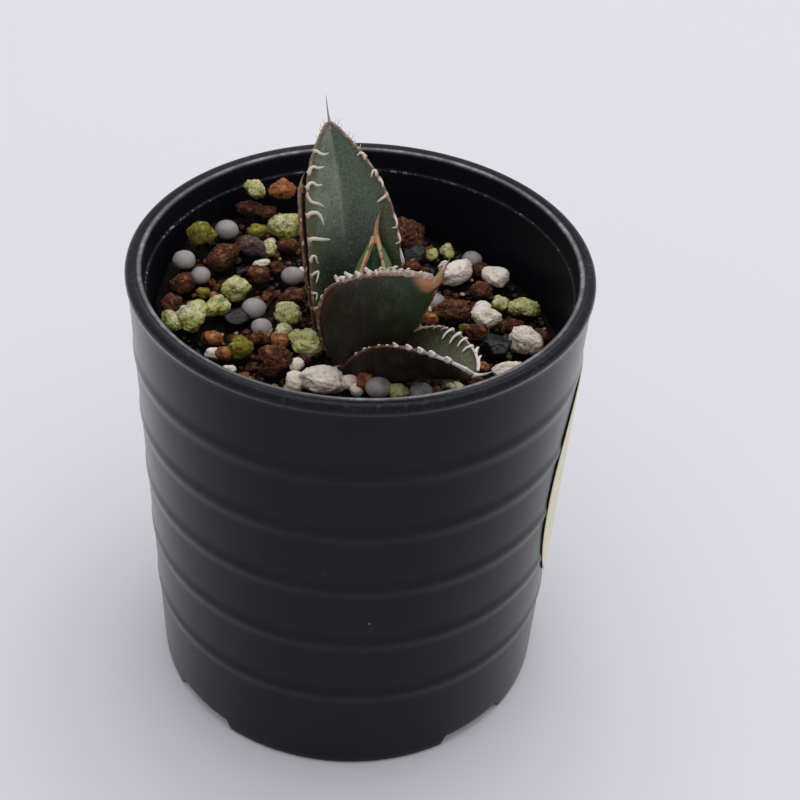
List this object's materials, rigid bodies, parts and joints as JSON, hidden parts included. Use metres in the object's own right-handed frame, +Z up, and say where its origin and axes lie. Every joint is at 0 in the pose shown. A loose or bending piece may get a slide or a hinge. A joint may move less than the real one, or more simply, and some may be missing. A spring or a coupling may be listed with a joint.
{
  "type": "potted agave oteroi",
  "caption": "Young agave oteroi with toothed, spine-tipped leaves, potted in gritty mix in a round ribbed black plastic nursery pot with a blank label.",
  "frame": {"origin": "middle of the pot's foot, on the surface that the pot stands on", "axes": "+Z up; the plant's open side, with its lowest leaf, faces -Y; +X is to the right seen from -Y"},
  "size_m": [0.08, 0.08, 0.1116],
  "materials": {
    "pot": "satin black",
    "label": "matte pale yellow",
    "potting_mix": "rough, mixed grains",
    "stem": "matte plant tissue",
    "leaf_back": "satin waxy leaf",
    "leaf_back_margin": "horny, satin",
    "leaf_left": "satin waxy leaf",
    "leaf_left_margin": "horny, satin",
    "leaf_front": "satin waxy leaf",
    "leaf_front_margin": "horny, satin",
    "leaf_right": "satin waxy leaf",
    "leaf_right_margin": "horny, satin",
    "leaf_centre": "satin waxy leaf",
    "leaf_centre_margin": "horny, satin"
  },
  "bodies": {
    "root": {"pot": "pot", "label": "label", "potting_mix": "potting_mix", "stem": "stem", "leaf_back": "leaf_back", "leaf_back_margin": "leaf_back_margin", "leaf_left": "leaf_left", "leaf_left_margin": "leaf_left_margin", "leaf_front": "leaf_front", "leaf_front_margin": "leaf_front_margin", "leaf_right": "leaf_right", "leaf_right_margin": "leaf_right_margin", "leaf_centre": "leaf_centre", "leaf_centre_margin": "leaf_centre_margin"}
  },
  "joints": []
}
